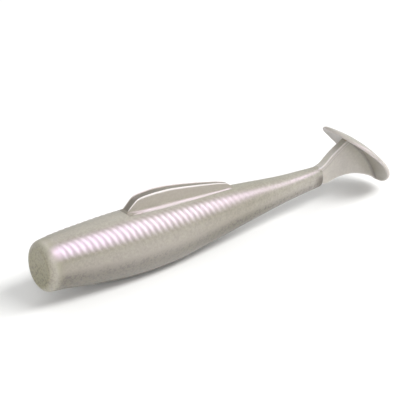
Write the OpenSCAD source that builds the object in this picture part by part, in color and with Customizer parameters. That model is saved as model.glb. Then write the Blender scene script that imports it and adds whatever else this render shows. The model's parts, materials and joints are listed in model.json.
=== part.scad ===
// Soft-plastic paddle-tail swimbait body, about 5 inches long.
// The origin is the centre of the flat nose face. +X runs from nose to tail and +Z is up
// through the dorsal fin. The body flexes sideways at two places and the fin folds.

/* [Body] */
// Length from the nose face to the end of the stem
body_len = 103; // [96:0.5:110]
// Height of the blunt nose
nose_h = 15.2; // [13:0.1:17]
// Height of the body where it is deepest
girth_h = 20; // [18:0.1:22]
// Width of the body at the same place
girth_w = 17.6; // [15.5:0.1:19]
// Rounding of the nose rim
nose_round = 1.3; // [0.8:0.1:2]

/* [Dorsal fin] */
// Distance from the nose to the foot of the fin's front edge
fin_start = 29.5; // [26:0.5:33]
// Length of the fin along the back
fin_len = 39.5; // [36:0.5:42]
// Greatest height of the fin above its fold line
fin_h = 4.6; // [3:0.1:6]
// Thickness of the fin's flat crest
fin_t = 2.8; // [2:0.1:3.2]

/* [Tail] */
// Width of the kick plate across its middle
plate_w = 23.8; // [22:0.1:26]
// Share by which the plate's upper half is wider, and its lower half narrower
plate_taper = 0.12; // [0:0.01:0.2]
// Height of the kick plate along its lean
plate_h = 27.1; // [26:0.1:28]
// Depth of the plate's cup from top to bottom, open towards the nose
plate_cup = 3; // [2.5:0.1:4]
// Depth of the cup from side to side
plate_side_cup = 1.6; // [1:0.1:3]
// Thickness of the kick plate
plate_t = 1.5; // [1.2:0.1:2]
// Lean of the plate from upright, top edge forwards, in degrees
plate_rake = 40; // [38:0.5:43]
// Distance from the wrist axis back to the middle of the plate's rim
plate_back = 13.4; // [13:0.1:14.4]
// Height of the middle of the plate's rim above the centre of the nose
plate_lift = 0.4; // [0:0.1:0.8]
// Thickness of the upright web between stem and plate
web_t = 1.6; // [1.2:0.1:2]
// Diameter of the bead along the top of the web
ridge_d = 2.4; // [2:0.1:2.8]

/* [Flexing places] */
// Distance from the nose to the axis of the body's sideways bend
bend_x = 80; // [76:0.5:84]
// Distance from the end of the stem to the axis of the tail's kick
wrist_gap = 1.5; // [1.5:0.1:2]
// Clearance between the parts that move on each other
clearance = 0.3; // [0.2:0.05:0.5]

/* [Hidden] */
$fn = 64;

PEARL = "#C9C2BC";
OLIVE_PEARL = "#9E9A88";
FIN_PEARL = "#BAB3AB";
CLEAR_PEARL = "#CFCCC6";

// Stations along the body: share of its length, then crown height and keel depth as shares
// of the greatest height, then half the width as a share of the greatest width.
STATIONS = [
    [0.000,  0.380, -0.380, 0.380],
    [0.058,  0.405, -0.410, 0.410],
    [0.155,  0.415, -0.500, 0.460],
    [0.290,  0.405, -0.595, 0.500],
    [0.430,  0.355, -0.605, 0.485],
    [0.563,  0.280, -0.530, 0.405],
    [0.700,  0.195, -0.435, 0.312],
    [0.854,  0.090, -0.335, 0.216],
    [0.950,  0.055, -0.300, 0.165],
    [1.000,  0.045, -0.290, 0.131]
];
LAST = len(STATIONS) - 1;
NOSE_SHARE = nose_h / (girth_h * (STATIONS[0][1] - STATIONS[0][2]));
ARC_STEPS = 14;          // flats across half a cross-section
STEP = 4;                // spacing of the cross-sections
NOSE_DEPTH = 2.6;        // depth of the belly pour behind the nose face
KNUCKLE_SHARE = 0.285;   // body knuckle's radius as a share of the greatest width
FOLD_LIFT = 0.2;         // height of the fin's fold line above the back
PLATE_FIT = 0.02;        // fine gap between the plate and what meets its front

wrist_x = body_len + wrist_gap;
knuckle_r = girth_w * KNUCKLE_SHARE;         // wider than the body is at the bend
wrist_r = ridge_d / 2;

// The fin folds about the line from the foot of its front edge to its tail end.
fin_end = fin_start + fin_len;
fin_axis_z0 = crown(fin_start) + FOLD_LIFT;
fin_axis_z1 = crown(fin_end) + FOLD_LIFT;
fin_fall = atan((fin_axis_z0 - fin_axis_z1) / fin_len);
fin_root_r = 1.9;                            // round root that the fin turns on

plate_x = wrist_x + plate_back;
PLATE_TURN = 9;                              // degrees between points round the plate
PLATE_RINGS = 8;                             // rings between the plate's middle and its rim
PLATE_HUB = 0.04;      // share of the outline where the rings start
PLUG_REACH = 1.4;                            // plug's rim as a share of the plate's
PLUG_DEPTH = 40;                             // plug's length in front of the plate

// The bead's centre line and the web's lower edge, measured from the wrist axis.
RIDGE_PATH = [[0, 0.2], [1.3, 1.6], [3.6, 3.1], [6.4, 4.7], [9.5, 6.1], [12, 7.1]];
WEB_HEM = [[0, -5.8], [2.4, -5.3], [5.3, -4.7], [10.7, -5.1], [16.3, -7.1], [21.5, -10.2]];

// ---- shape rules ----

// Station k's slope in column c, taken across its neighbours.
function slope(k, c) =
    k == 0 ? (STATIONS[1][c] - STATIONS[0][c]) / (STATIONS[1][0] - STATIONS[0][0]) :
    k == LAST ? (STATIONS[LAST][c] - STATIONS[LAST - 1][c]) / (STATIONS[LAST][0] - STATIONS[LAST - 1][0]) :
    (STATIONS[k + 1][c] - STATIONS[k - 1][c]) / (STATIONS[k + 1][0] - STATIONS[k - 1][0]);

// Index of the station at or before share s.
function station(s, k = 0) = (k >= LAST - 1 || s < STATIONS[k + 1][0]) ? k : station(s, k + 1);

// Smooth curve through column c of the stations.
function along(s, c) =
    let (k = station(s), span = STATIONS[k + 1][0] - STATIONS[k][0], t = (s - STATIONS[k][0]) / span)
    (1 + 2 * t) * pow(1 - t, 2) * STATIONS[k][c] + t * pow(1 - t, 2) * span * slope(k, c)
    + t * t * (3 - 2 * t) * STATIONS[k + 1][c] + t * t * (t - 1) * span * slope(k + 1, c);

// The nose share fades out over the first sixth of the body.
function nose_factor(s) = 1 + (NOSE_SHARE - 1) * max(0, 1 - 6 * s);
function crown(x) = girth_h * along(x / body_len, 1) * nose_factor(x / body_len);
function keel(x) = girth_h * along(x / body_len, 2) * nose_factor(x / body_len);
function half_width(x) = girth_w * along(x / body_len, 3) * nose_factor(x / body_len);
function widest_z(x) = (crown(x) + keel(x)) / 2;

// Points of a cross-section at x, from angle a0 to a1 about the widest line, 0 being the
// crown. The inset draws the whole section in, for the rounded nose rim.
function section(x, a0, a1, steps, inset = 0) = [
    for (i = [0 : steps])
        let (a = a0 + (a1 - a0) * i / steps, h = (crown(x) - keel(x)) / 2 - inset, w = half_width(x) - inset)
        [x, w * sin(a), widest_z(x) + h * cos(a)]
];

// Cross-section places from x0 to x1, about STEP apart.
function places(x0, x1) = let (n = ceil((x1 - x0) / STEP)) [for (i = [0 : n]) x0 + (x1 - x0) * i / n];

// ---- building modules ----

// Solid through a list of closed rings that all have the same number of points.
module loft(rings) {
    m = len(rings[0]);
    last = len(rings) - 1;
    sides = [
        for (r = [0 : last - 1], i = [0 : m - 1])
            let (j = (i + 1) % m, a = r * m + i, b = r * m + j, c = (r + 1) * m + j, d = (r + 1) * m + i)
            each [[a, b, c], [a, c, d]]
    ];
    front = [for (i = [m - 1 : -1 : 0]) i];
    back = [for (i = [0 : m - 1]) last * m + i];
    polyhedron(points = [for (r = rings) each r], faces = concat([front], [back], sides));
}

// Half of the body between two places: upper half with side = 1, lower half with side = -1.
module half_body(x0, x1, side) {
    mid = side > 0 ? 0 : 180;
    loft([for (x = places(x0, x1)) section(x, mid - 90, mid + 90, ARC_STEPS)]);
}

// The blunt nose: full sections, with a quarter-round rim round the flat face.
module nose_block() {
    rim = [for (t = [0 : 30 : 90]) [nose_round * (1 - cos(t)), nose_round * (1 - sin(t))]];
    full = 360 - 360 / (2 * ARC_STEPS);
    loft([
        for (p = concat(rim, [[NOSE_DEPTH, 0]]))
            section(p[0], -90, full - 90, 2 * ARC_STEPS - 1, p[1])
    ]);
}

// Everything in front of the bend, with a round knuckle about the bend's axis.
module front_of_bend() {
    translate([-1, -girth_w, -girth_h]) cube([bend_x + 1, 2 * girth_w, 2 * girth_h]);
    translate([bend_x, 0, -girth_h]) cylinder(r = knuckle_r, h = 2 * girth_h);
}

// Cylinder along the fin's fold line, drawn in by a margin at both ends.
module fin_barrel(r, margin) {
    translate([fin_start, 0, fin_axis_z0]) rotate([0, 90 + fin_fall, 0])
        translate([0, 0, margin]) cylinder(r = r, h = fin_len / cos(fin_fall) - 2 * margin);
}

// A point of the plate: its share of the way from middle to rim, its angle round from the
// bottom, and how far it stands in front of the plate's back surface.
function plate_point(share, a, forward) =
    let (
        down = plate_h / 2 * share * cos(a),
        half_w = plate_w / 2 * (1 - plate_taper * cos(a)),
        side = half_w * share * sin(a),
        cup = plate_cup * (1 - pow(2 * down / plate_h, 2)) - plate_side_cup * pow(2 * side / plate_w, 2),
        behind = cup - forward
    )
    [plate_x + down * sin(plate_rake) + behind * cos(plate_rake), side,
     plate_lift - down * cos(plate_rake) + behind * sin(plate_rake)];

// Closed ring of the plate's points. The way round is 1 or -1.
function plate_ring(share, forward, way) =
    [for (a = [0 : PLATE_TURN : 360 - PLATE_TURN]) plate_point(share, way * a, forward)];

// Everything in front of the plate's front surface, less a margin.
module in_front_of_plate(margin = 0) {
    forward = plate_t + margin;
    loft(concat(
        [for (k = [0 : PLATE_RINGS]) plate_ring(max(PLUG_REACH * k / PLATE_RINGS, PLATE_HUB), forward, 1)],
        [plate_ring(PLUG_REACH, PLUG_DEPTH, 1)]
    ));
}

// ---- sub-parts ----

module body_back_pour() {
    color(PEARL)
    difference() {
        intersection() {
            half_body(NOSE_DEPTH, bend_x + knuckle_r + 1, 1);
            front_of_bend();
        }
        fin_barrel(fin_root_r + clearance, 0);
    }
}

module body_belly_pour() {
    color(OLIVE_PEARL)
    union() {
        nose_block();
        intersection() {
            half_body(NOSE_DEPTH, bend_x + knuckle_r + 1, -1);
            front_of_bend();
        }
    }
}

module dorsal_fin() {
    blade = [[1.2, 0], [2.2, 0.45 * fin_h], [3.9, 0.76 * fin_h], [6.6, 0.93 * fin_h], [10.5, fin_h],
             [15.5, 0.99 * fin_h], [21.5, 0.88 * fin_h], [28, 0.72 * fin_h], [34, 0.56 * fin_h],
             [fin_len - 1.2, 0.36 * fin_h], [fin_len - 0.6, 0]];
    color(FIN_PEARL)
    union() {
        fin_barrel(fin_root_r, clearance);
        translate([fin_start, 0, fin_axis_z0]) rotate([0, fin_fall, 0]) rotate([90, 0, 0])
            linear_extrude(height = fin_t, center = true) polygon(blade);
    }
}

module stem_half(side) {
    difference() {
        half_body(bend_x + 1, body_len, side);
        translate([bend_x, 0, -girth_h]) cylinder(r = knuckle_r + clearance, h = 2 * girth_h);
    }
}

module stem_back_pour() {
    color(PEARL) stem_half(1);
}

module stem_belly_pour() {
    color(OLIVE_PEARL) stem_half(-1);
}

// Bead swept along its path, eight-sided and upright at its front end.
module ridge_bead() {
    n = len(RIDGE_PATH) - 1;
    function turn(i) = let (a = RIDGE_PATH[max(i - 1, 0)], b = RIDGE_PATH[min(i + 1, n)])
        atan2(b[1] - a[1], b[0] - a[0]);
    loft([
        for (i = [0 : n])
            [for (k = [0 : 9]) let (a = 36 * k, lift = wrist_r * cos(a))
                [wrist_x + RIDGE_PATH[i][0] - lift * sin(turn(i)), wrist_r * sin(a),
                 RIDGE_PATH[i][1] + lift * cos(turn(i))]]
    ]);
}

module tail_ridge() {
    color(CLEAR_PEARL)
    intersection() {
        ridge_bead();
        in_front_of_plate(PLATE_FIT);
    }
}

// The web's outline runs on past the plate, whose front surface trims it.
module tail_web() {
    top = [for (i = [len(RIDGE_PATH) - 1 : -1 : 0]) RIDGE_PATH[i]];
    past_plate = [[26, -8], [20, 10]];
    outline = concat(WEB_HEM, past_plate, top);
    color(CLEAR_PEARL)
    difference() {
        intersection() {
            union() {
                translate([wrist_x, 0, 0]) rotate([90, 0, 0])
                    linear_extrude(height = web_t, center = true) polygon(outline);
                translate([wrist_x, 0, WEB_HEM[0][1]]) cylinder(r = wrist_r, h = RIDGE_PATH[0][1] - WEB_HEM[0][1]);
            }
            in_front_of_plate(PLATE_FIT);
        }
        ridge_bead();
    }
}

module kick_plate() {
    shares = [for (k = [0 : PLATE_RINGS]) max(k / PLATE_RINGS, PLATE_HUB)];
    color(CLEAR_PEARL)
    loft(concat(
        [for (share = shares) plate_ring(share, plate_t, -1)],
        [for (k = [PLATE_RINGS : -1 : 0]) plate_ring(shares[k], 0, -1)]
    ));
}

body_back_pour();
body_belly_pour();
dorsal_fin();
stem_back_pour();
stem_belly_pour();
tail_ridge();
tail_web();
kick_plate();
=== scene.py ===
# %% [markdown]
# # A soft-plastic swimbait
# The real bait is one moulding of soft vinyl, poured in two colours: a pearl back and an olive
# belly. It has a blunt nose, ribbed shoulders, a low fin, a thin stem and a cupped kick plate. Here
# the belly's colour is also darker, as painted shade on the underside.
# The imported model gives the bodies, the joints and every size, so it is loaded first and left
# as it is. Three skins are then modelled over it: the body, the fin and the tail.

# %% Load the frame
import json
import math

import bpy
import numpy as np
from mathutils import Matrix, Vector

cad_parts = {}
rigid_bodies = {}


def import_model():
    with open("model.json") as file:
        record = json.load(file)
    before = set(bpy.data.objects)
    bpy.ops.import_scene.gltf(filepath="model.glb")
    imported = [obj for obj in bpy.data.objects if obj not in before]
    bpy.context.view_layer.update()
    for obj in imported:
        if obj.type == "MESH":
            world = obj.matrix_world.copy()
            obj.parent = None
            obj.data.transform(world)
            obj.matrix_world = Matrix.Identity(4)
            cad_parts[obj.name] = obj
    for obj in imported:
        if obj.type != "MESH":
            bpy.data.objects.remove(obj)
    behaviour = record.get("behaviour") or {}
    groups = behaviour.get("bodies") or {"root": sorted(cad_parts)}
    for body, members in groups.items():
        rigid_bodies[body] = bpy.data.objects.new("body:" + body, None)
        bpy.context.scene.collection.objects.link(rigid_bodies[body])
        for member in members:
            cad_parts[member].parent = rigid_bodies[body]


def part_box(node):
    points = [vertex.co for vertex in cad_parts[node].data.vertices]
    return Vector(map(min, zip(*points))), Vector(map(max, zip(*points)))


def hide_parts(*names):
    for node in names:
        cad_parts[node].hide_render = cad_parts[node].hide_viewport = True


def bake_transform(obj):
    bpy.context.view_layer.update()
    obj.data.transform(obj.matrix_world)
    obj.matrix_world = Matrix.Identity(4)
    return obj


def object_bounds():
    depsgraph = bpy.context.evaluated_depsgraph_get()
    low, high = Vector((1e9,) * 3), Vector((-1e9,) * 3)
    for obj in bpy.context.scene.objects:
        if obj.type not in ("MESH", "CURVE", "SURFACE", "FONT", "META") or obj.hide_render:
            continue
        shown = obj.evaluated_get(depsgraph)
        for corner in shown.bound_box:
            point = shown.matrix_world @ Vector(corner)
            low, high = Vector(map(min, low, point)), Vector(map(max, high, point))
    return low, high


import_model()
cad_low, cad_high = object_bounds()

# %% [markdown]
# ## Sizes
# Everything is in metres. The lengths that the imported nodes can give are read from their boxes.
# The body's outline is the same rule as the part's: crown, keel and half width are shares of
# the greatest height and width, at ten stations, joined by a smooth curve.

# %% Sizes
MM = 0.001
body_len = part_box("stem_belly_pour")[1].x
girth_h = 20 * MM
girth_w = 2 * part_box("body_belly_pour")[1].y
nose_round = 2.2 * MM
stem_round = 1.1 * MM
WRIST_GAP = 1.5 * MM
wrist_x = body_len + WRIST_GAP
print(f"body {body_len / MM:.1f} mm long, {girth_h / MM:.1f} mm deep, {girth_w / MM:.1f} mm wide")

# %% The outline rule
# Each station: share of the length, then crown, keel and half width.
STATIONS = np.array([
    [0.000, 0.380, -0.380, 0.380],
    [0.058, 0.405, -0.410, 0.410],
    [0.155, 0.415, -0.500, 0.460],
    [0.290, 0.405, -0.595, 0.500],
    [0.430, 0.355, -0.605, 0.485],
    [0.563, 0.280, -0.530, 0.405],
    [0.700, 0.195, -0.435, 0.312],
    [0.854, 0.090, -0.335, 0.216],
    [0.950, 0.055, -0.300, 0.165],
    [1.000, 0.045, -0.290, 0.131],
])
CROWN, KEEL, WIDTH = 1, 2, 3


def slopes(column):
    """Slope of the curve at each station, taken across its neighbours."""
    share, value = STATIONS[:, 0], STATIONS[:, column]
    before = np.r_[0, 0:len(share) - 1]
    after = np.r_[1:len(share), len(share) - 1]
    return (value[after] - value[before]) / (share[after] - share[before])


def along(x, column):
    """Smooth curve through one column of the stations, at the distances x from the nose."""
    share = np.clip(np.asarray(x, float) / body_len, 0, 1)
    k = np.clip(np.searchsorted(STATIONS[:, 0], share, side="right") - 1, 0, len(STATIONS) - 2)
    span = STATIONS[k + 1, 0] - STATIONS[k, 0]
    t = (share - STATIONS[k, 0]) / span
    slope = slopes(column)
    return (
        (1 + 2 * t) * (1 - t) ** 2 * STATIONS[k, column]
        + t * (1 - t) ** 2 * span * slope[k]
        + t * t * (3 - 2 * t) * STATIONS[k + 1, column]
        + t * t * (t - 1) * span * slope[k + 1]
    )


def crown(x):
    return girth_h * along(x, CROWN)


def keel(x):
    return girth_h * along(x, KEEL)


def half_width(x):
    return girth_w * along(x, WIDTH)


def middle(x):
    return (crown(x) + keel(x)) / 2


def half_height(x):
    return (crown(x) - keel(x)) / 2


def ramp(x, low, high):
    """0 below low, 1 above high, and a smooth step between them."""
    t = np.clip((x - low) / (high - low), 0, 1)
    return t * t * (3 - 2 * t)


print(f"deepest keel {keel(42 * MM) / MM:.2f} mm, crown at the fin {crown(44 * MM) / MM:.2f} mm")

# %% [markdown]
# ## Camera, floor and light
# A long lens from the front left, 27 degrees up, shows the nose face, the ribbed shoulder and the
# inside of the kick plate at once. A small object is lit with a large softbox: it stands on the
# tail side, so that its reflection runs along the ribs. The white world fills the shadows.

# %% Camera
CAMERA_AZIMUTH = math.radians(-38)
CAMERA_HEIGHT = math.radians(27)
CAMERA_DISTANCE = 0.6852
LENS = 202.5
look_at = Vector((60 * MM, 0, 0))
towards_camera = Vector((
    math.sin(CAMERA_AZIMUTH) * math.cos(CAMERA_HEIGHT),
    -math.cos(CAMERA_AZIMUTH) * math.cos(CAMERA_HEIGHT),
    math.sin(CAMERA_HEIGHT),
))
camera_data = bpy.data.cameras.new("camera")
camera_data.lens = LENS
camera_data.sensor_width = 36
camera_data.clip_start = 0.01
camera = bpy.data.objects.new("camera", camera_data)
camera.location = look_at + towards_camera * CAMERA_DISTANCE
camera.rotation_euler = towards_camera.to_track_quat("Z", "Y").to_euler()
bpy.context.scene.collection.objects.link(camera)
bpy.context.scene.camera = camera
bpy.context.scene.view_settings.view_transform = "Standard"
print("camera at", tuple(round(v, 4) for v in camera.location))


# %% Colour and node helpers
def linear(hex_colour):
    """An sRGB hex colour as the linear colour that a shader takes."""
    parts = [int(hex_colour[i:i + 2], 16) / 255 for i in (1, 3, 5)]
    return (*(p / 12.92 if p <= 0.04045 else ((p + 0.055) / 1.055) ** 2.4 for p in parts), 1)


def add_node(tree, kind, inputs=None, **settings):
    """Adds a node. Settings are its own options; inputs are numbers, colours or other sockets."""
    made = tree.nodes.new(kind)
    for name, value in settings.items():
        setattr(made, name, value)
    for name, value in (inputs or {}).items():
        if isinstance(value, bpy.types.NodeSocket):
            tree.links.new(value, made.inputs[name])
        else:
            made.inputs[name].default_value = value
    return made


def clear_selection():
    """Leaves edit mode and deselects everything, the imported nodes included."""
    if bpy.context.object is not None and bpy.context.object.mode != "OBJECT":
        bpy.ops.object.mode_set(mode="OBJECT")
    bpy.ops.object.select_all(action="DESELECT")


# %% Floor
FLOOR_SIZE = 3.0
FLOOR_GAP = 0.2 * MM
clear_selection()
bpy.ops.mesh.primitive_plane_add(size=FLOOR_SIZE, location=(look_at.x, 0, cad_low.z - FLOOR_GAP))
floor = bpy.context.object
floor.name = "studio_floor"
bpy.ops.object.transform_apply(location=True, rotation=True, scale=True)
# Matt white paper: it shows nothing but the bait's soft shadow.
paper = bpy.data.materials.new("white_paper_sweep")
paper.use_nodes = True
paper_shader = paper.node_tree.nodes["Principled BSDF"]
paper_shader.inputs["Base Color"].default_value = linear("#F4F4F3")
paper_shader.inputs["Roughness"].default_value = 0.9
floor.data.materials.append(paper)
print(f"floor at z = {(cad_low.z - FLOOR_GAP) / MM:.2f} mm")


# %% Lights
def softbox(name, direction, distance, width, height, power):
    """An area light that faces the middle of the bait, its width level along the bait."""
    data = bpy.data.lights.new(name, "AREA")
    data.shape = "RECTANGLE"
    data.size = width
    data.size_y = height
    data.energy = power
    box = bpy.data.objects.new(name, data)
    back = Vector(direction).normalized()
    level = (Vector((1, 0, 0)) - back * back.x).normalized()
    box.location = look_at + back * distance
    box.rotation_euler = Matrix((level, back.cross(level), back)).transposed().to_euler()
    bpy.context.scene.collection.objects.link(box)


softbox("key_softbox", (0.52, -0.45, 0.70), distance=0.7, width=0.90, height=0.22, power=5.4)
softbox("front_fill", (-0.60, -0.60, 0.45), distance=0.9, width=0.6, height=0.5, power=2.4)
softbox("top_fill", (0.1, 0.45, 0.9), distance=0.9, width=0.5, height=0.5, power=1.0)
world = bpy.data.worlds.new("white_studio")
world.use_nodes = True
background = world.node_tree.nodes["Background"]
background.inputs["Color"].default_value = linear("#FFFFFF")
background.inputs["Strength"].default_value = 0.5
bpy.context.scene.world = world

# %% [markdown]
# ## The body skin
# On the real bait the body and the stem are one smooth, tapering tube of vinyl. It could be
# sculpted, or lofted in code. Here it grows from one circle, as by hand: the nose ring is
# extruded along the body and each new ring is scaled to the outline rule. Closely spaced rings
# leave room for the ribs, which are raised after the subdivision.

# %% Grow a tube of rings
def grow_rings(rings):
    """Extrudes the selected end face through the rings and scales it to each."""
    for (x0, z0, y0, h0), (x1, z1, y1, h1) in zip(rings, rings[1:]):
        step = (x1 - x0, 0, z1 - z0)
        bpy.ops.mesh.extrude_region_move(TRANSFORM_OT_translate={"value": step})
        bpy.ops.transform.resize(value=(1, y1 / y0, h1 / h0), center_override=(x1, 0, z1))
    bpy.ops.mesh.select_all(action="SELECT")
    bpy.ops.mesh.normals_make_consistent(inside=False)


def grow_tube(name, rings, count):
    """A closed tube through upright rings, each (x, z, half width, half height)."""
    clear_selection()
    x, z, half_y, half_z = rings[0]
    bpy.ops.mesh.primitive_circle_add(
        vertices=count, radius=1, fill_type="NGON", location=(x, 0, z), rotation=(0, math.pi / 2, 0)
    )
    made = bpy.context.object
    made.name = name
    bpy.ops.object.transform_apply(location=True, rotation=True, scale=True)
    bpy.ops.object.mode_set(mode="EDIT")
    bpy.ops.mesh.select_all(action="SELECT")
    bpy.ops.transform.resize(value=(1, half_y, half_z), center_override=(x, 0, z))
    grow_rings(rings)
    return made


def open_edges(obj):
    """How many edges don't have exactly two faces. A closed skin has none."""
    uses = np.zeros(len(obj.data.edges), int)
    for face in obj.data.polygons:
        for loop in face.loop_indices:
            uses[obj.data.loops[loop].edge_index] += 1
    return int((uses != 2).sum())


# %% Body rings
RIB_PITCH = 2.1 * MM
RING_GAP = RIB_PITCH / 2
RING_POINTS = 32
# Angles round the rounded rims at the nose and the stem's end, in degrees.
NOSE_TURNS = (8, 30, 52, 72)
STEM_TURNS = (20, 42, 64, 84)


def body_ring(x, inset=0.0):
    """The body's section at x, drawn in by the inset: x, middle, half width, half height."""
    x = float(x)
    return (x, float(middle(x)), float(half_width(x)) - inset, float(half_height(x)) - inset)


nose_rings = [
    body_ring(nose_round * (1 - math.cos(a)), nose_round * (1 - math.sin(a)))
    for a in map(math.radians, NOSE_TURNS)
]
stem_start = body_len - stem_round
ring_count = round((stem_start - nose_round) / RING_GAP)
long_rings = [body_ring(x) for x in np.linspace(nose_round, stem_start, ring_count + 1)]
stem_rings = [
    body_ring(stem_start + stem_round * math.sin(a), stem_round * (1 - math.cos(a)))
    for a in map(math.radians, STEM_TURNS)
]
body_skin = grow_tube("body_skin", nose_rings + long_rings + stem_rings, RING_POINTS)
print("body rings:", len(nose_rings) + len(long_rings) + len(stem_rings))

# %% Close the two ends with inset faces
END_INSETS = (0.5 * MM, 0.6 * MM)
for inset in END_INSETS:
    bpy.ops.mesh.select_all(action="DESELECT")
    bpy.ops.mesh.select_face_by_sides(number=4, type="GREATER")
    bpy.ops.mesh.inset(thickness=inset, depth=0, use_individual=True)
bpy.ops.object.mode_set(mode="OBJECT")
print("open edges on the body:", open_edges(body_skin))


# %% Subdivide
def select_only(obj):
    """Leaves one piece selected and active."""
    clear_selection()
    obj.select_set(True)
    bpy.context.view_layer.objects.active = obj


def apply_modifier(obj, kind, **settings):
    """Adds a modifier to a piece and applies it."""
    select_only(obj)
    made = obj.modifiers.new(kind.lower(), kind)
    for name, value in settings.items():
        setattr(made, name, value)
    bpy.ops.object.modifier_apply(modifier=made.name)


apply_modifier(body_skin, "SUBSURF", levels=2, render_levels=2)
print("body skin:", len(body_skin.data.polygons), "faces")


# %% Points of a mesh as an array
def points_of(obj):
    """The piece's points as an array of rows."""
    flat = np.empty(len(obj.data.vertices) * 3)
    obj.data.vertices.foreach_get("co", flat)
    return flat.reshape(-1, 3)


def normals_of(obj):
    """The piece's outward directions at its points."""
    flat = np.empty(len(obj.data.vertices) * 3)
    obj.data.vertex_normals.foreach_get("vector", flat)
    return flat.reshape(-1, 3)


def move_points(obj, points):
    """Puts the piece's points at new places."""
    obj.data.vertices.foreach_set("co", points.ravel())
    obj.data.update()


def turn_from_crown(points):
    """Angle round the section from the crown, 0, to the keel, 180 degrees."""
    up = (points[:, 2] - middle(points[:, 0])) / half_height(points[:, 0])
    side = np.abs(points[:, 1]) / half_width(points[:, 0])
    return np.degrees(np.arctan2(side, up))


# %% [markdown]
# ## Ribs
# The mould has a row of shallow cuts on both shoulders, which become raised ribs on the bait.
# They lean back as they go down, soften along the body and fade out behind the fin. Some seventy
# small bars could be modelled and joined, but on the real bait they melt into the skin. So the
# skin's own points are raised by a wave along the body, inside a window round the shoulder.

# %% Raise the ribs
RIB_HEIGHT = 0.26 * MM
RIB_SHARPNESS = 0.8         # below 1, a rib is broader than the groove beside it
RIB_SINK = 0.25             # share of the height that the grooves lie below the skin
RIB_LEAN = math.tan(math.radians(17))
RIB_TOP = (25, 37)          # degrees from the crown over which the ribs start
RIB_FOOT = (47, 66)
RIB_FRONT = (3.5 * MM, 6.0 * MM)
RIB_REAR = (50 * MM, 76 * MM)
RIB_SOFTENING = (15 * MM, 45 * MM)
RIB_SOFTER = 0.4            # share of the height lost over the softening

skin = points_of(body_skin)
turn = turn_from_crown(skin)
skin_x = skin[:, 0].copy()
section_radius = (half_width(skin_x) + half_height(skin_x)) / 2
down_shoulder = np.radians(turn - RIB_TOP[1]) * section_radius
wave = 0.5 + 0.5 * np.cos(2 * math.pi * (skin_x - RIB_LEAN * down_shoulder) / RIB_PITCH)
window = ramp(turn, *RIB_TOP) * (1 - ramp(turn, *RIB_FOOT))
window *= ramp(skin_x, *RIB_FRONT) * (1 - ramp(skin_x, *RIB_REAR))
window *= 1 - RIB_SOFTER * ramp(skin_x, *RIB_SOFTENING)
rise = RIB_HEIGHT * window * (wave ** RIB_SHARPNESS - RIB_SINK)
skin += normals_of(body_skin) * rise[:, None]
move_points(body_skin, skin)
print("rib count:", round((RIB_REAR[0] - RIB_FRONT[1]) / RIB_PITCH), "a side at full height")


# %% Marks on the mesh
def mark(obj, name, values):
    """Keeps one number a point on the mesh, for a material to read."""
    made = obj.data.attributes.new(name, "FLOAT", "POINT")
    made.data.foreach_set("value", np.asarray(values, np.float32))


def mark_edges(obj, reach, depth):
    """Marks thin edges towards 1 and creases towards 0, by evening the shape out and comparing, for
    painted edge light and painted crease shade.
    """
    points = points_of(obj)
    ends = np.empty(len(obj.data.edges) * 2, int)
    obj.data.edges.foreach_get("vertices", ends)
    a, b = ends.reshape(-1, 2).T
    count = np.bincount(a, minlength=len(points)) + np.bincount(b, minlength=len(points))
    even = points.copy()
    for _ in range(reach):
        total = np.zeros_like(even)
        np.add.at(total, a, even[b])
        np.add.at(total, b, even[a])
        even = (even + total / count[:, None]) / 2
    stands_out = ((points - even) * normals_of(obj)).sum(axis=1)
    # Near 1 the colour gets painted edge light, near 0 painted shade.
    mark(obj, "painted_edge_light_and_shade", np.clip(0.5 + stands_out / depth / 2, 0, 1))
    print(obj.name, "edge marks from", round(float(stands_out.min() / MM), 3), "to",
          round(float(stands_out.max() / MM), 3), "mm")


# %% [markdown]
# ## Marks on the body
# Colour on the bait follows its shape: the pours meet along the widest line, a lavender band on the
# shoulders is a painted sheen, and the step at the stem's end is darkened with painted shade. These
# could be painted by hand. Each is instead a number kept on the mesh, worked out from the angle
# round the section and the distance from the nose, so it stays in place when the skin bends.

# %% Pours, painted sheen band and painted shade at the stem step
BAND_TOP = (18, 40)         # degrees from the crown
BAND_FOOT = (48, 68)
BAND_FRONT = (0.5 * MM, 4 * MM)
BAND_REAR = (55 * MM, 85 * MM)
BAND_STRENGTH = 0.6
BAND_FADING = (12 * MM, 45 * MM)
BAND_FADE = 0.55            # share of the band lost over the fading
STEP_SHADE = 0.9
STEP_START = (5.0 * MM, 1.5 * MM)   # before the stem's end
STEP_TOP = (60, 85)
STEP_FOOT = (150, 170)
BODY_EDGE_REACH = 10
BODY_EDGE_DEPTH = 0.08 * MM

mark(body_skin, "pour_turn", turn / 180)
skin_x = skin[:, 0]
# The dark patch at the stem's end is painted shade in the step.
stem_step_shade = ramp(skin_x, body_len - STEP_START[0], body_len - STEP_START[1])
stem_step_shade *= ramp(turn, *STEP_TOP) * (1 - ramp(turn, *STEP_FOOT))
mark(body_skin, "shade_and_dark_tone", STEP_SHADE * stem_step_shade)
# The lavender band is a painted sheen where the key light's reflection runs along the shoulders.
shoulder = ramp(turn, *BAND_TOP) * (1 - ramp(turn, *BAND_FOOT))
shoulder *= ramp(skin_x, *BAND_FRONT) * (1 - ramp(skin_x, *BAND_REAR))
fading = 1 - BAND_FADE * ramp(skin_x, *BAND_FADING)
mark(body_skin, "painted_sheen_band", BAND_STRENGTH * shoulder * fading)
mark_edges(body_skin, BODY_EDGE_REACH, BODY_EDGE_DEPTH)
select_only(body_skin)
bpy.ops.object.shade_smooth()
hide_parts("body_back_pour", "body_belly_pour", "stem_back_pour", "stem_belly_pour")
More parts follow.
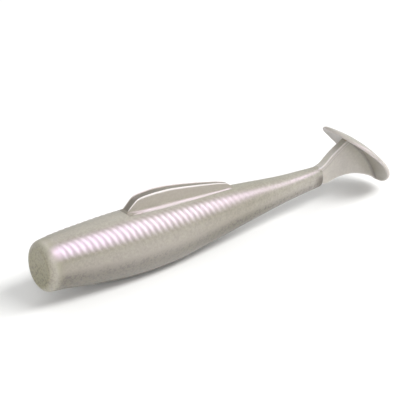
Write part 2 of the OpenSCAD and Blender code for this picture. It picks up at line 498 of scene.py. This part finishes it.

# %% [markdown]
# ## The dorsal fin
# The fin is a low, thick wall with a flat crest, moulded with the back. Its section is drawn once,
# with flared feet and two raised edges along the crest. It is then extruded from front to rear, and
# each step scales the section to the fin's height and thickness there. The crest's thin edges are
# painted paler, as light through them, and the groove between them is painted darker, as shade.

# %% Fin sizes
fin_low, fin_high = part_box("dorsal_fin")
fin_len = fin_high.x - fin_low.x
fin_half_t = 1.5 * MM
FIN_STEPS = 44
FIN_HIGHEST = 0.27          # share of the length where the fin is highest
FIN_SINK = 0.25 * MM        # how far its two low ends are sunk into the back
FIN_SUNK = (0.3 * MM, 1.2 * MM)     # heights over which it comes out of the back
FIN_LEAST = 0.15 * MM
# Height along the fin, then thickness along it: (share of the length, share of the greatest).
FIN_PROFILE = [
    (0.0, 0.0), (0.05, 0.43), (0.095, 0.80), (0.13, 0.89), (0.18, 0.94), (0.265, 1.0),
    (0.39, 0.99), (0.54, 0.88), (0.70, 0.73), (0.85, 0.56), (0.94, 0.40), (0.98, 0.20),
    (1.0, 0.0),
]
CREST_WIDTHS = [(0.0, 0.85), (0.1, 0.95), (0.3, 1.05), (0.6, 0.85), (0.85, 0.55), (1.0, 0.35)]
# Half of the section: (share of the half thickness, share of the height).
FIN_SECTION = [
    (0.0, -0.30), (1.2, -0.30), (2.1, -0.24), (1.75, -0.06), (1.38, 0.06), (1.16, 0.22),
    (1.06, 0.50), (1.01, 0.80), (1.0, 0.95), (0.975, 0.995), (0.90, 1.0), (0.78, 0.985),
    (0.66, 0.93), (0.35, 0.915), (0.0, 0.91),
]


CURVE_STEPS = 400
CURVE_REACH = 6


def smooth_through(pairs, at):
    """Smooth curve through a few (place, value) pairs."""
    places, values = np.array(pairs).T
    fine = np.linspace(places[0], places[-1], CURVE_STEPS)
    straight = np.interp(fine, places, values)
    kernel = np.hanning(2 * CURVE_REACH + 1)
    padded_line = np.pad(straight, CURVE_REACH, mode="reflect", reflect_type="odd")
    return np.interp(at, fine, np.convolve(padded_line, kernel / kernel.sum(), mode="valid"))


fin_rise = fin_high.z - float(crown(fin_low.x + FIN_HIGHEST * fin_len))
print(f"fin {fin_len / MM:.1f} mm long, {fin_rise / MM:.2f} mm high")


# %% Extrude the fin
def fin_height(share):
    """Height of the fin at a share of its length."""
    return fin_rise * smooth_through(FIN_PROFILE, share)


def fin_half_width(share):
    """Half the thickness of the fin at a share of its length."""
    return fin_half_t * smooth_through(CREST_WIDTHS, share)


def fin_ring(share):
    """The section at a share of the fin's length: x, back, half thickness, height."""
    x = fin_low.x + share * fin_len
    height = fin_height(share)
    base = float(crown(x)) - FIN_SINK * (1 - ramp(height, *FIN_SUNK))
    return x, base, fin_half_width(share), max(height, FIN_LEAST)


clear_selection()
loop = FIN_SECTION + [(-y, z) for y, z in FIN_SECTION[-2:0:-1]]
fin_rings = [fin_ring(k / FIN_STEPS) for k in range(FIN_STEPS + 1)]
foot_x, foot_z, foot_width, foot_height = fin_rings[0]
bpy.ops.mesh.primitive_circle_add(
    vertices=len(loop), radius=foot_width, fill_type="NGON", location=(foot_x, 0, foot_z),
    rotation=(0, math.pi / 2, 0)
)
fin_skin = bpy.context.object
fin_skin.name = "fin_skin"
bpy.ops.object.transform_apply(location=True, rotation=True, scale=True)
first_ring = [(foot_x, y * foot_width, foot_z + z * foot_height) for y, z in loop]
move_points(fin_skin, np.array(first_ring))
bpy.ops.object.mode_set(mode="EDIT")
bpy.ops.mesh.select_all(action="SELECT")
grow_rings(fin_rings)
bpy.ops.object.mode_set(mode="OBJECT")
apply_modifier(fin_skin, "SUBSURF", levels=2, render_levels=2)

# %% Painted light on the crest's edges and the fin's feet, and painted shade in the crest's groove
# Each range is a share: of the fin's height, its half thickness or its length.
RIM_UP, RIM_SIDE = (0.80, 0.96), (0.70, 0.86)
GROOVE_UP, GROOVE_SIDE = (0.70, 0.88), (0.55, 0.75)
GROOVE_FADING = (0.1, 0.5)
GROOVE_FADE = 0.6
FOOT_SIDE, FOOT_START = (1.25, 1.6), (0.05, 0.2)
FOOT_LIGHT = 0.2

wall = points_of(fin_skin)
share = np.clip((wall[:, 0] - fin_low.x) / fin_len, 0, 1)
up = (wall[:, 2] - crown(wall[:, 0])) / np.maximum(fin_height(share), FIN_SUNK[0])
side = np.abs(wall[:, 1]) / fin_half_width(share)
rim = ramp(up, *RIM_UP) * ramp(side, *RIM_SIDE)
groove = ramp(up, *GROOVE_UP) * (1 - ramp(side, *GROOVE_SIDE))
groove *= 1 - GROOVE_FADE * ramp(share, *GROOVE_FADING)
foot = ramp(side, *FOOT_SIDE) * ramp(share, *FOOT_START)
# Rims and feet are painted lighter and the groove is painted darker, as light and shade.
crest_light = 0.5 + 0.5 * rim - 0.5 * groove + FOOT_LIGHT * foot
mark(fin_skin, "painted_edge_light_and_shade", np.clip(crest_light, 0, 1))
bpy.ops.object.shade_smooth()
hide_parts("dorsal_fin")
print("fin skin:", len(fin_skin.data.polygons), "faces, open edges:", open_edges(fin_skin))

# %% [markdown]
# ## The tail
# Behind the stem the vinyl thins to an upright web with a flat-topped ridge along its top, and
# the web carries the cupped kick plate that makes the tail swim. All three are one moulding, and
# every corner between them has a soft fillet. The ridge, web and plate are modelled apart,
# joined, and melted together by a voxel remesh and a little smoothing, which rounds the corners.

# %% Tail sizes
plate_low, plate_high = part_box("kick_plate")
plate_w = 23.8 * MM
plate_h = 27.1 * MM
plate_taper = 0.12
plate_cup = 3.0 * MM
plate_side_cup = 1.6 * MM
plate_t = 1.5 * MM
plate_rake = math.radians(40)
plate_back = 13.4 * MM
plate_lift = 0.4 * MM
plate_middle = Vector((wrist_x + plate_back, 0, plate_lift))
plate_axis = Vector((math.cos(plate_rake), 0, math.sin(plate_rake)))
plate_down = Vector((math.sin(plate_rake), 0, -math.cos(plate_rake)))
plate_across = Vector((0, 1, 0))
ridge_half_w = 1.3 * MM
ridge_half_h = 0.7 * MM
ridge_lift = 0.45 * MM
web_t = 1.3 * MM
# The ridge's line and the web's lower edge: (distance behind the wrist, height), in mm.
RIDGE_PATH = [
    (-7.5, -1.25), (-5.0, -0.9), (-3.0, -0.55), (-1.5, -0.2), (0, 0.4), (1.3, 1.6), (3.6, 3.1),
    (6.4, 4.7), (9.5, 6.1), (12.5, 7.2),
]
WEB_HEM = [
    (-5, -4.4), (-1.2, -5.2), (0, -5.8), (2.4, -5.3), (5.3, -4.7), (10.7, -5.1), (16.3, -7.1),
    (21.5, -10.2), (25, -12.8),
]
print("kick plate box, mm:", [round(v / MM, 1) for v in plate_high - plate_low])


# %% Square tube for the ridge and the web
def grow_slab(rings):
    """A closed four-sided bar through upright rings, each (x, z, half width, half height)."""
    clear_selection()
    x, z, half_y, half_z = rings[0]
    bpy.ops.mesh.primitive_plane_add(size=2, location=(x, 0, z), rotation=(0, math.pi / 2, 0))
    made = bpy.context.object
    bpy.ops.object.transform_apply(location=True, rotation=True, scale=True)
    bpy.ops.object.mode_set(mode="EDIT")
    bpy.ops.mesh.select_all(action="SELECT")
    bpy.ops.transform.resize(value=(1, half_y, half_z), center_override=(x, 0, z))
    grow_rings(rings)
    bpy.ops.object.mode_set(mode="OBJECT")
    return made


def settle(values, rounds):
    """Evens out a line of values, its ends held."""
    for _ in range(rounds):
        values[1:-1] = (values[:-2] + 2 * values[1:-1] + values[2:]) / 4
    return values


# %% Ridge along the top of the web
RIDGE_RINGS = 30
ridge_line = np.array(RIDGE_PATH) * MM
ridge_x = np.linspace(ridge_line[0, 0], ridge_line[-1, 0], RIDGE_RINGS)
ridge_z = settle(np.interp(ridge_x, ridge_line[:, 0], ridge_line[:, 1]), 3)
ridge_slope = np.hypot(1, np.gradient(ridge_z, ridge_x))
ridge = grow_slab([
    (wrist_x + float(x), float(z + ridge_lift * s), ridge_half_w, ridge_half_h * float(s))
    for x, z, s in zip(ridge_x, ridge_z, ridge_slope)
])
print("ridge rings:", RIDGE_RINGS, "open edges:", open_edges(ridge))

# %% Web under the ridge
WEB_RINGS = 24
hem_line = np.array(WEB_HEM) * MM
web_x = np.linspace(hem_line[0, 0], hem_line[-1, 0], WEB_RINGS)
web_low = settle(np.interp(web_x, hem_line[:, 0], hem_line[:, 1]), 2)
web_high = np.interp(web_x, ridge_x, ridge_z)
web = grow_slab([
    (wrist_x + float(x), float(low + high) / 2, web_t / 2, float(high - low) / 2)
    for x, low, high in zip(web_x, web_low, web_high)
])
print("web rings:", WEB_RINGS, "open edges:", open_edges(web))


# %% The kick plate's surface
def cup_at(down, side):
    """How far the plate's back stands behind its rim's middle, at a place on the plate."""
    from_top = plate_cup * (1 - (2 * down / plate_h) ** 2)
    from_side = plate_side_cup * (2 * side / plate_w) ** 2
    return from_top - from_side


def plate_point(share, turn, forward):
    """A point of the plate, by its share of the way out and its angle from the bottom."""
    down = plate_h / 2 * share * math.cos(turn)
    half_w = plate_w / 2 * (1 - plate_taper * math.cos(turn))
    side = half_w * share * math.sin(turn)
    back = plate_axis * (cup_at(down, side) - forward)
    return plate_middle + plate_down * down + plate_across * side + back


# %% Grow a dish
def grow_dish(name, steps, count):
    """A closed dish: a disc grown outwards and back, each step (share, distance forward)."""
    clear_selection()
    bpy.ops.mesh.primitive_circle_add(
        vertices=count, radius=steps[0][0] * plate_h / 2, fill_type="NGON",
        location=plate_middle, rotation=(0, math.pi / 2 - plate_rake, 0)
    )
    made = bpy.context.object
    made.name = name
    bpy.ops.object.transform_apply(location=True, rotation=True, scale=True)
    bpy.ops.object.mode_set(mode="EDIT")
    bpy.ops.mesh.select_all(action="SELECT")
    for (share0, forward0), (share1, forward1) in zip(steps, steps[1:]):
        bpy.ops.mesh.extrude_region_move(
            TRANSFORM_OT_translate={"value": plate_axis * (forward0 - forward1)}
        )
        bpy.ops.transform.resize(
            value=(share1 / share0,) * 3, center_override=plate_middle - plate_axis * forward1
        )
    bpy.ops.object.mode_set(mode="OBJECT")
    shape = points_of(made).reshape(len(steps), count, 3)
    for (share, forward), ring in zip(steps, shape):
        for point in ring:
            flat = Vector(point) - plate_middle
            turn = math.atan2(flat.dot(plate_across), flat.dot(plate_down))
            point[:] = plate_point(share, turn, forward)
    move_points(made, shape.reshape(-1, 3))
    bpy.ops.object.mode_set(mode="EDIT")
    bpy.ops.mesh.select_all(action="SELECT")
    bpy.ops.mesh.normals_make_consistent(inside=False)
    bpy.ops.object.mode_set(mode="OBJECT")
    return made


# %% Trim the ridge and the web to the plate
PLATE_POINTS = 96
PLATE_HUB = 0.06            # share of the plate's size where its rings start
PLUG_REACH = 1.4
PLUG_RINGS = 20
PLUG_DEPTH = 40 * MM
INTO_PLATE = 0.6            # share of the thickness left behind the trimmed ends
plug_shares = [float(v) for v in np.linspace(PLATE_HUB, PLUG_REACH, PLUG_RINGS)]
plug_steps = [(share, plate_t * INTO_PLATE) for share in plug_shares]
plug_steps += [(PLUG_REACH, PLUG_DEPTH)]
plug = grow_dish("plug", plug_steps, PLATE_POINTS)
print("plug open edges:", open_edges(plug))
for piece in (ridge, web):
    apply_modifier(piece, "BOOLEAN", operation="INTERSECT", solver="EXACT", object=plug)
bpy.data.objects.remove(plug)
print("after the trim: ridge", len(ridge.data.vertices), "points, web", len(web.data.vertices))

# %% Kick plate
EDGE_THINNING = 0.3 * MM
EDGE_START = 0.97
PLATE_RINGS = 14
# The rounded edge from front to back: (share of the plate's size, share of the thickness).
PLATE_EDGE = [(0.988, 0.12), (0.998, 0.3), (1.0, 0.5), (0.998, 0.7), (0.988, 0.88)]
plate_shares = [float(v) for v in np.linspace(PLATE_HUB, EDGE_START, PLATE_RINGS)]


def front_depth(share):
    """The plate's thickness at a share of its size. It thins a little towards the edge."""
    return plate_t - EDGE_THINNING * share ** 2


plate_steps = [(share, front_depth(share)) for share in plate_shares]
plate_steps += [(share, front_depth(1) * (1 - part)) for share, part in PLATE_EDGE]
plate_steps += [(share, 0.0) for share in plate_shares[::-1]]
plate = grow_dish("plate", plate_steps, PLATE_POINTS)
print("plate rings:", len(plate_steps), "open edges:", open_edges(plate))

# %% Melt the three together
VOXEL = 0.2 * MM
SMOOTHING = 5
clear_selection()
for piece in (ridge, web, plate):
    piece.select_set(True)
bpy.context.view_layer.objects.active = plate
bpy.ops.object.join()
tail_skin = bpy.context.object
tail_skin.name = "tail_skin"
apply_modifier(tail_skin, "REMESH", mode="VOXEL", voxel_size=VOXEL, adaptivity=0)
apply_modifier(tail_skin, "SMOOTH", factor=0.5, iterations=SMOOTHING)

# %% Painted light on thin edges and painted shade in creases, and a darker tone on the plate and the ridge
TAIL_EDGE_REACH = 12
TAIL_EDGE_DEPTH = 0.10 * MM
PLATE_TONE = 0.36
PLATE_BLEND = 0.8 * MM
RIDGE_TONE = 0.2
RIDGE_SIDE = (0.6 * web_t, 0.85 * web_t)

mark_edges(tail_skin, TAIL_EDGE_REACH, TAIL_EDGE_DEPTH)
tail_points = points_of(tail_skin)
from_middle = tail_points - np.array(plate_middle)
cup = cup_at(from_middle @ np.array(plate_down), from_middle[:, 1])
ahead = cup - from_middle @ np.array(plate_axis)
# The plate and the ridge are coloured darker than the web.
in_plate = 1 - ramp(ahead, plate_t, plate_t + PLATE_BLEND)
in_ridge = ramp(np.abs(tail_points[:, 1]), *RIDGE_SIDE)
mark(tail_skin, "shade_and_dark_tone", np.maximum(PLATE_TONE * in_plate, RIDGE_TONE * in_ridge))
bpy.ops.object.shade_smooth()
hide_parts("tail_ridge", "tail_web", "kick_plate")
print("tail skin:", len(tail_skin.data.polygons), "faces, open edges:", open_edges(tail_skin))


# %% [markdown]
# ## Pearl vinyl
# The bait is plastisol: vinyl softened with oil, cured in a polished mould, with fine mica in
# it. It is slightly see-through, its gloss is soft, and the mica throws back a pink-violet
# sheen where the light strikes. Colour follows the pours, so it reads the angle round the
# section that was kept on the mesh. Mica clouds and grains come from noise in real millimetres.
# Only the tinted gloss moves with the light. The lavender band is a painted sheen, the light edges
# a painted highlight, the creases, the belly and the stem's step painted shade, and the plate and
# the ridge a darker tone; all are laid into the colour and stay in place, which is simple and easy
# to adjust.

# %% Colours that all the vinyl shares
NOSE_OLIVE = "#939370"
REAR_PEARL = "#9F9D92"
PAINTED_EDGE_LIGHT = "#E6E1E0"
PAINTED_SHEEN_LAVENDER = "#DCC8DA"
SHADE_AND_TONE_OLIVE = "#5A5844"
GLOSS_VIOLET = "#ECD0EE"
CLOUD_SIZE = 3.5 * MM
# Real mica flakes are about 0.1 mm and too fine to show, so the grain is drawn eight times as
# coarse.
GRAIN_SIZE = 0.8 * MM
print("grain", GRAIN_SIZE / MM, "mm, clouds", CLOUD_SIZE / MM, "mm")


# %% Colour round the section
def pour_colour(tree, axes, cloud, pours, back, flank, belly):
    """The pours' colours from crown to keel. Returns the place round the section too."""
    if pours:
        where = add_node(tree, "ShaderNodeAttribute", attribute_name="pour_turn").outputs["Fac"]
    else:
        where = add_node(tree, "ShaderNodeMapRange", {
            "Value": axes.outputs["Z"], "From Min": 12 * MM, "From Max": -12 * MM,
            "To Min": 0.0, "To Max": 0.6
        }).outputs["Result"]
    wander = add_node(tree, "ShaderNodeMath", {
        0: cloud.outputs["Fac"], 1: 0.06, 2: -0.03
    }, operation="MULTIPLY_ADD")
    placed = add_node(tree, "ShaderNodeMath", {0: where, 1: wander.outputs[0]}, operation="ADD")
    pour = add_node(tree, "ShaderNodeValToRGB", {"Fac": placed.outputs[0]})
    pour.color_ramp.elements[0].color = linear(back)
    pour.color_ramp.elements[1].color = linear(belly)
    for spot, colour in [(0.28, flank), (0.50, flank), (0.60, belly)]:
        pour.color_ramp.elements.new(spot).color = linear(colour)
    return placed.outputs[0], pour.outputs["Color"]


# %% Colour from nose to tail
def lengthwise_colour(tree, axes, colour):
    """Olive at the nose face and paler behind. Returns the nose's share too."""
    nose = add_node(tree, "ShaderNodeMapRange", {
        "Value": axes.outputs["X"], "From Min": 0.3 * MM, "From Max": 5 * MM,
        "To Min": 0.8, "To Max": 0.0
    }, interpolation_type="SMOOTHSTEP")
    at_nose = add_node(tree, "ShaderNodeMix", {
        "Factor": nose.outputs["Result"], "A": colour, "B": linear(NOSE_OLIVE)
    }, data_type="RGBA")
    rear = add_node(tree, "ShaderNodeMapRange", {
        "Value": axes.outputs["X"], "From Min": 60 * MM, "From Max": 108 * MM,
        "To Min": 0.0, "To Max": 0.8
    }, interpolation_type="SMOOTHSTEP")
    at_rear = add_node(tree, "ShaderNodeMix", {
        "Factor": rear.outputs["Result"], "A": at_nose.outputs["Result"], "B": linear(REAR_PEARL)
    }, data_type="RGBA")
    return nose.outputs["Result"], at_rear.outputs["Result"]


# %% Dark mottling of the belly and the nose
def mottling(tree, grain, placed, nose):
    """How much of the light the vinyl keeps: less in dark spots low down and on the nose."""
    low_down = add_node(tree, "ShaderNodeMapRange", {
        "Value": placed, "From Min": 0.48, "From Max": 0.57, "To Min": 0.0, "To Max": 1.0
    })
    mottled = add_node(tree, "ShaderNodeMath", {
        0: low_down.outputs["Result"], 1: nose
    }, operation="MAXIMUM")
    mottle = add_node(tree, "ShaderNodeMapRange", {
        "Value": grain.outputs["Fac"], "From Min": 0.46, "From Max": 0.60,
        "To Min": 0.0, "To Max": 0.6
    })
    spots = add_node(tree, "ShaderNodeMath", {
        0: mottled.outputs[0], 1: mottle.outputs["Result"]
    }, operation="MULTIPLY")
    return add_node(tree, "ShaderNodeMath", {
        0: 1.12, 1: spots.outputs[0]
    }, operation="SUBTRACT").outputs[0]


# %% Mica grains and clouds
def mica_tone(tree, grain, cloud, unspotted, specks):
    """The tone that the colour is multiplied by."""
    mica = add_node(tree, "ShaderNodeMapRange", {
        "Value": grain.outputs["Fac"], "From Min": 0.35, "From Max": 0.7,
        "To Min": 1 - 0.16 * specks, "To Max": 1 + 0.10 * specks
    })
    drift = add_node(tree, "ShaderNodeMapRange", {
        "Value": cloud.outputs["Fac"], "From Min": 0.3, "From Max": 0.7,
        "To Min": 0.95, "To Max": 1.04
    })
    clouded = add_node(tree, "ShaderNodeMath", {
        0: mica.outputs["Result"], 1: drift.outputs["Result"]
    }, operation="MULTIPLY")
    return add_node(tree, "ShaderNodeMath", {
        0: clouded.outputs[0], 1: unspotted
    }, operation="MULTIPLY").outputs[0]


# %% Painted light on thin edges and painted shade in creases
def edge_colour(tree, colour, glow):
    """Paints thin edges paler, as light through them, and paints shade into creases."""
    edge = add_node(tree, "ShaderNodeAttribute", attribute_name="painted_edge_light_and_shade").outputs["Fac"]
    crease = add_node(tree, "ShaderNodeMapRange", {
        "Value": edge, "From Min": 0.1, "From Max": 0.5, "To Min": 1 - glow, "To Max": 1.0
    })
    creased = add_node(tree, "ShaderNodeVectorMath", {
        0: colour, "Scale": crease.outputs["Result"]
    }, operation="SCALE")
    thin = add_node(tree, "ShaderNodeMapRange", {
        "Value": edge, "From Min": 0.6, "From Max": 1.0,
        "To Min": 0.0, "To Max": min(1, 2.2 * glow)
    })
    return add_node(tree, "ShaderNodeMix", {
        "Factor": thin.outputs["Result"], "A": creased.outputs["Vector"], "B": linear(PAINTED_EDGE_LIGHT)
    }, data_type="RGBA").outputs["Result"]


# %% Painted sheen band, painted shade and darker tone
def marked_colour(tree, colour):
    """Lays the painted sheen band, and the painted shade and darker tone, both kept on the mesh,
    into the colour.
    """
    for name, tint in (("painted_sheen_band", PAINTED_SHEEN_LAVENDER), ("shade_and_dark_tone", SHADE_AND_TONE_OLIVE)):
        amount = add_node(tree, "ShaderNodeAttribute", attribute_name=name).outputs["Fac"]
        colour = add_node(tree, "ShaderNodeMix", {
            "Factor": amount, "A": colour, "B": linear(tint)
        }, data_type="RGBA").outputs["Result"]
    return colour


# %% Pearl plastisol
def pearl_plastisol(name, back, flank, belly, specks=0.5, scatter=0.25, pours=True, glow=0.3):
    """Moulded pearl plastisol. The mica gives soft clouds and a pink sheen on a satin gloss."""
    made = bpy.data.materials.new(name)
    made.use_nodes = True
    tree = made.node_tree
    shader = tree.nodes["Principled BSDF"]
    place = add_node(tree, "ShaderNodeTexCoord").outputs["Object"]
    axes = add_node(tree, "ShaderNodeSeparateXYZ", {"Vector": place})
    cloud = add_node(tree, "ShaderNodeTexNoise", {
        "Vector": place, "Scale": 1 / CLOUD_SIZE, "Detail": 3, "Roughness": 0.6
    })
    grain = add_node(tree, "ShaderNodeTexNoise", {
        "Vector": place, "Scale": 1 / GRAIN_SIZE, "Detail": 3, "Roughness": 0.75
    })
    placed, poured = pour_colour(tree, axes, cloud, pours, back, flank, belly)
    nose, lengthwise = lengthwise_colour(tree, axes, poured)
    tone = mica_tone(tree, grain, cloud, mottling(tree, grain, placed, nose), specks)
    toned = add_node(tree, "ShaderNodeVectorMath", {
        0: lengthwise, "Scale": tone
    }, operation="SCALE").outputs["Vector"]
    colour = marked_colour(tree, edge_colour(tree, toned, glow))
    tree.links.new(colour, shader.inputs["Base Color"])
    gloss = add_node(tree, "ShaderNodeMapRange", {
        "Value": cloud.outputs["Fac"], "From Min": 0.3, "From Max": 0.7,
        "To Min": 0.32, "To Max": 0.42
    })
    tree.links.new(gloss.outputs["Result"], shader.inputs["Roughness"])
    bump = add_node(tree, "ShaderNodeBump", {
        "Height": grain.outputs["Fac"], "Strength": 0.25, "Distance": 0.06 * MM
    })
    tree.links.new(bump.outputs["Normal"], shader.inputs["Normal"])
    shader.inputs["IOR"].default_value = 1.54
    shader.inputs["Specular IOR Level"].default_value = 1.0
    shader.inputs["Specular Tint"].default_value = linear(GLOSS_VIOLET)
    shader.inputs["Subsurface Weight"].default_value = scatter
    shader.inputs["Subsurface Radius"].default_value = (1.0, 0.9, 0.75)
    shader.inputs["Subsurface Scale"].default_value = 1.5 * MM
    return made


# %% The three finishes
# Two pours cast together: a pale back over an olive, more speckled belly. The belly colour is also
# made darker, as painted shade on the underside.
body_pearl = pearl_plastisol(
    "laminated_pearl_plastisol", "#918F7F", "#83816F", "#66674E", specks=1.2
)
# One pour. Its crest's edges get stronger painted light, as light through thin vinyl.
FIN_PEARL = "#8C897A"
fin_pearl = pearl_plastisol(
    "pearl_plastisol_fin", FIN_PEARL, FIN_PEARL, FIN_PEARL, pours=False, glow=0.38
)
# One pour, cast thin: paler and more see-through than the body.
TAIL_PEARL = "#DDDCCF"
tail_pearl = pearl_plastisol(
    "thin_pearl_plastisol", TAIL_PEARL, TAIL_PEARL, "#D9D8CA", scatter=0.5, pours=False, glow=0.35
)
body_skin.data.materials.append(body_pearl)
fin_skin.data.materials.append(fin_pearl)
tail_skin.data.materials.append(tail_pearl)
print("materials:", [m.name for m in bpy.data.materials])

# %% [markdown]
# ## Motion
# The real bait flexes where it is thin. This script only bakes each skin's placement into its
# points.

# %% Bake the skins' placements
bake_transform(body_skin)
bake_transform(tail_skin)
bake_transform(fin_skin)

# %% Size of the imported model
print("packed box, mm:", [round((b - a) / MM, 2) for a, b in zip(cad_low, cad_high)])
